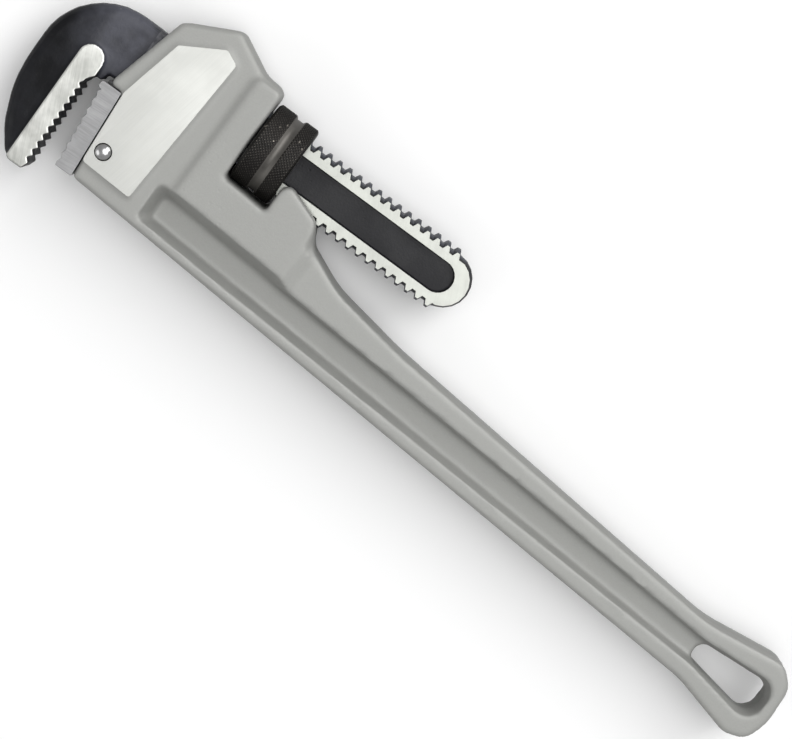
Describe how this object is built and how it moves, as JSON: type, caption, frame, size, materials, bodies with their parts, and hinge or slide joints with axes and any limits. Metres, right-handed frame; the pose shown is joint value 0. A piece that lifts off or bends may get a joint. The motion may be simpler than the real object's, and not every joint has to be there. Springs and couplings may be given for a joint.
{
  "type": "pipe wrench",
  "caption": "Straight-pattern pipe wrench: cast I-beam handle with a hanging hole, pinned heel jaw, and a threaded hook jaw that a knurled nut moves.",
  "frame": {"origin": "bottom centre of the whole wrench, lying flat with its jaws at the opening they have at rest", "axes": "+X along the shank from the hook jaw to the end of the handle, +Y across it from the jaws' tips to the arm of the hook, +Z through the thickness"},
  "size_m": [0.4254, 0.1198, 0.0372],
  "materials": {
    "cast_aluminium": "satin, fine cast grain, with bright brushed pads on both sides of the head",
    "forged_steel": "blackened forging with a ground strip behind the teeth",
    "ground_steel": "ground, fine lines across the jaw",
    "polished_steel": "polished dome",
    "blackened_steel": "oiled black oxide, diamond knurl",
    "spring_steel": "drawn, semi-gloss"
  },
  "bodies": {
    "handle": {"handle": "cast_aluminium", "heel_jaw": "ground_steel", "heel_jaw_pin": "polished_steel", "flat_spring": "spring_steel", "flat_spring_pin": "spring_steel", "coil_spring": "spring_steel", "coil_spring_pin": "spring_steel"},
    "hook_jaw": {"hook_jaw": "forged_steel"},
    "nut": {"adjusting_nut": "blackened_steel"}
  },
  "joints": [
    {"name": "jaw_slide", "type": "slide", "parent": "handle", "child": "hook_jaw", "axis": [-1, 0, 0], "range_m": [-0.0034, 0.057]},
    {"name": "nut_spin", "type": "hinge", "parent": "handle", "child": "nut", "pos_m": [-0.10534, 0.02658, 0.0186], "axis": [1, 0, 0], "range_deg": [-240, 3950]}
  ],
  "couplings": [
    {"joint": "nut_spin", "follows": "jaw_slide", "rad_per_m": 1208.3}
  ]
}
